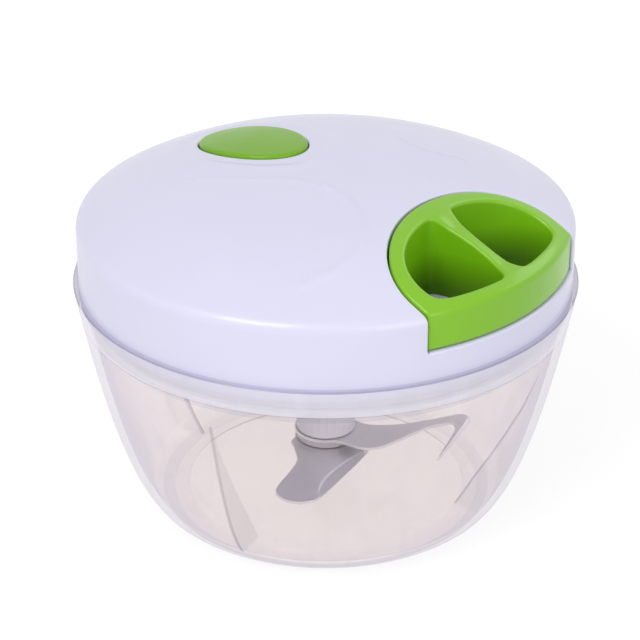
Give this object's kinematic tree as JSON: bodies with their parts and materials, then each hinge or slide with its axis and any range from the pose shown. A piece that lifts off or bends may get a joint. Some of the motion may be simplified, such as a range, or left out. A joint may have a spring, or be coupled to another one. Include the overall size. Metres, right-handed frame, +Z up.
{
  "type": "pull-cord food chopper",
  "caption": "Hand-powered food chopper: clear bowl, domed lid with a pull handle on a cord reel, blades on a central stem, and a release button.",
  "frame": {"origin": "centre of the underside of the bowl's foot", "axes": "+Z up along the bowl's axis, +X the way the handle is pulled"},
  "size_m": [0.126, 0.126, 0.0914],
  "materials": {
    "clear_plastic": "clear, polished",
    "white_shell": "gloss",
    "inner_white": "as moulded",
    "green_gloss": "gloss",
    "milky_stem": "translucent, satin",
    "blade_steel": "brushed",
    "fastener_steel": "plain",
    "seal_silicone": "matt",
    "cord_nylon": "braided"
  },
  "bodies": {
    "bowl_body": {"bowl": "clear_plastic", "pivot_pin": "fastener_steel"},
    "seal_body": {"seal_ring": "seal_silicone"},
    "lid_body": {"lid_cover": "white_shell", "lid_base": "white_shell", "cover_screw_1": "fastener_steel", "cover_screw_2": "fastener_steel", "cover_screw_3": "fastener_steel", "cover_screw_4": "fastener_steel", "drive_bush": "inner_white", "spring_housing": "inner_white", "spring_housing_cover": "inner_white", "recoil_spring": "fastener_steel", "button_spring": "fastener_steel", "cord_eyelet": "fastener_steel"},
    "reel_body": {"drive_shaft": "inner_white", "cord_reel": "inner_white", "reel_flange": "inner_white", "shaft_clip": "fastener_steel", "cord_winding": "cord_nylon"},
    "handle_body": {"pull_handle": "green_gloss", "cord_knot": "cord_nylon", "pull_cord": "cord_nylon"},
    "blade_body": {"blade_stem": "milky_stem", "blade_upper": "blade_steel", "blade_middle": "blade_steel", "blade_lower": "blade_steel", "blade_spacer_upper": "milky_stem", "blade_spacer_lower": "blade_steel", "stem_foot": "blade_steel"},
    "button_body": {"release_button": "green_gloss"},
    "latch_body": {"latch_bolt": "inner_white"}
  },
  "joints": [
    {"name": "lid_lift", "type": "slide", "parent": "bowl_body", "child": "seal_body", "axis": [0, 0, 1], "range_m": [0, 0.1]},
    {"name": "lid_twist", "type": "hinge", "parent": "seal_body", "child": "lid_body", "pos_m": [0, 0, 0.06], "axis": [0, 0, 1], "range_deg": [-25, 0]},
    {"name": "cord_pull", "type": "slide", "parent": "lid_body", "child": "handle_body", "axis": [1, 0, 0], "range_m": [0, 0.22], "stiffness_N_per_m": 12, "springref_m": -0.15, "deforming": ["pull_cord"]},
    {"name": "reel_spin", "type": "hinge", "parent": "lid_body", "child": "reel_body", "pos_m": [0, 0, 0.07], "axis": [0, 0, 1], "range_deg": [0, 955]},
    {"name": "blade_spin", "type": "hinge", "parent": "lid_body", "child": "blade_body", "pos_m": [0, 0, 0.03], "axis": [0, 0, 1], "range_deg": [0, 955]},
    {"name": "button_press", "type": "slide", "parent": "lid_body", "child": "button_body", "axis": [0, 0, -1], "range_m": [0, 0.0018], "stiffness_N_per_m": 400, "springref_m": -0.001, "deforming": ["button_spring"]},
    {"name": "latch_slide", "type": "slide", "parent": "lid_body", "child": "latch_body", "axis": [1, 0, 0], "range_m": [0, 0.0018]}
  ],
  "couplings": [
    {"joint": "reel_spin", "follows": "cord_pull", "rad_per_m": 75.758},
    {"joint": "blade_spin", "follows": "cord_pull", "rad_per_m": 75.758},
    {"joint": "latch_slide", "follows": "button_press", "ratio": 1}
  ]
}
